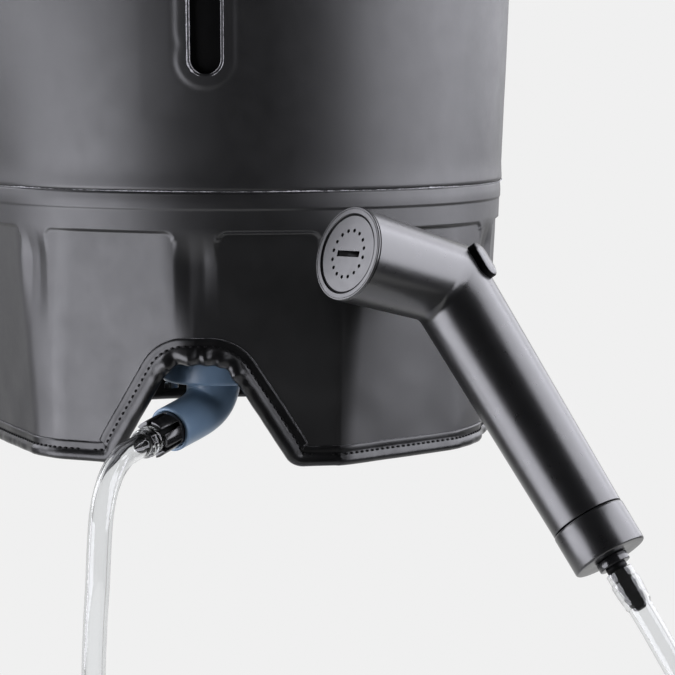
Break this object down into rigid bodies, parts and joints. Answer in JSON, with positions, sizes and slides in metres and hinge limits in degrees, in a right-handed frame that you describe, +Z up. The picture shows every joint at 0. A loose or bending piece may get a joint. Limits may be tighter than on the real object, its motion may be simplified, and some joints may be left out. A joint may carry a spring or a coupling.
{
  "type": "camp shower pump",
  "caption": "Covered pressure tank with a hand pump in its screw cap, an outlet elbow, a clear hose and an angled hand shower with a flow button.",
  "frame": {"origin": "hang point midway between the centres of the two hang eyes, on the tank's axis", "axes": "+Z up along the tank's axis, -Y the front with the level slot and the arch, +X to the right seen from the front"},
  "size_m": [0.36, 0.313, 0.7194],
  "materials": {
    "cover_cloth": "matt coated cloth",
    "tank_plastic": "matt moulded",
    "charcoal_plastic": "satin moulded",
    "blue_plastic": "satin moulded",
    "grey_plastic": "satin moulded",
    "black_fitting": "gloss moulded",
    "seal_rubber": "matt",
    "steel": "satin",
    "clear_hose": "clear",
    "tie_strap": "woven"
  },
  "bodies": {
    "tank": {"tank_body": "tank_plastic", "base_stand": "tank_plastic", "sleeve": "cover_cloth", "skirt": "cover_cloth", "skirt_hem": "cover_cloth", "arch_binding": "cover_cloth", "shoulder_ring": "charcoal_plastic", "outlet_elbow": "blue_plastic", "outlet_gasket": "seal_rubber", "flange_screws": "steel", "hose_barb": "black_fitting", "barb_ring": "seal_rubber", "hose_end_tank": "clear_hose", "hose_tank_run": "clear_hose", "hose_coil": "clear_hose", "hose_tie": "tie_strap", "hose_handset_run": "clear_hose", "handset_dock": "tank_plastic", "dock_magnet": "steel", "dock_screw": "steel"},
    "cap_seal": {"pump_seal": "seal_rubber"},
    "pump_head": {"pump_cap": "charcoal_plastic", "pump_barrel": "grey_plastic", "rod_guide": "grey_plastic", "valve_cage": "tank_plastic", "check_valve": "seal_rubber", "relief_body": "blue_plastic", "relief_cap": "tank_plastic", "relief_spring": "steel"},
    "plunger": {"pump_rod": "steel", "piston": "tank_plastic", "piston_seal": "seal_rubber", "pump_handle": "charcoal_plastic", "handle_pin": "steel"},
    "relief_pull": {"relief_stem": "steel", "relief_seal": "seal_rubber", "relief_knob": "blue_plastic"},
    "collar": {"connector_collar": "black_fitting"},
    "handset": {"handset_shell": "charcoal_plastic", "spray_bezel": "charcoal_plastic", "spray_hub": "tank_plastic", "valve_body": "tank_plastic", "valve_spring": "steel", "water_tube": "grey_plastic", "end_collar": "charcoal_plastic", "inlet_barb": "black_fitting", "inlet_screen": "steel", "hose_end_handset": "clear_hose"},
    "spray_face": {"spray_plate": "charcoal_plastic"},
    "button": {"flow_button": "charcoal_plastic", "valve_stem": "steel"}
  },
  "joints": [
    {"name": "pump_lift", "type": "slide", "parent": "tank", "child": "cap_seal", "axis": [0, 0, 1], "range_m": [0, 0.0075]},
    {"name": "pump_unscrew", "type": "hinge", "parent": "cap_seal", "child": "pump_head", "pos_m": [0, 0, 0], "axis": [0, 0, 1], "range_deg": [0, 450]},
    {"name": "pump_stroke", "type": "slide", "parent": "pump_head", "child": "plunger", "axis": [0, 0, 1], "range_m": [0, 0.14]},
    {"name": "relief_lift", "type": "slide", "parent": "pump_head", "child": "relief_pull", "axis": [0, 0, 1], "range_m": [0, 0.004], "stiffness_N_per_m": 1200, "springref_m": -0.003, "deforming": ["relief_spring"]},
    {"name": "collar_turn", "type": "hinge", "parent": "tank", "child": "collar", "pos_m": [-0.0125, -0.115, -0.3435], "axis": [-0.414, -0.8878, -0.2011], "range_deg": [0, 60]},
    {"name": "handset_lift", "type": "slide", "parent": "tank", "child": "handset", "axis": [0.6646, -0.4234, 0.6157], "range_m": [0, 0.06], "deforming": ["hose_handset_run"]},
    {"name": "spray_turn", "type": "hinge", "parent": "handset", "child": "spray_face", "pos_m": [0.1036, -0.1036, -0.281], "axis": [-0.6825, -0.6794, 0.2695], "range_deg": [0, 90]},
    {"name": "button_press", "type": "slide", "parent": "handset", "child": "button", "axis": [-0.7927, 0.1583, -0.5888], "range_m": [0, 0.0025], "stiffness_N_per_m": 900, "springref_m": -0.002, "deforming": ["valve_spring"]}
  ],
  "couplings": [
    {"joint": "pump_unscrew", "follows": "pump_lift", "rad_per_m": 1047.2}
  ]
}
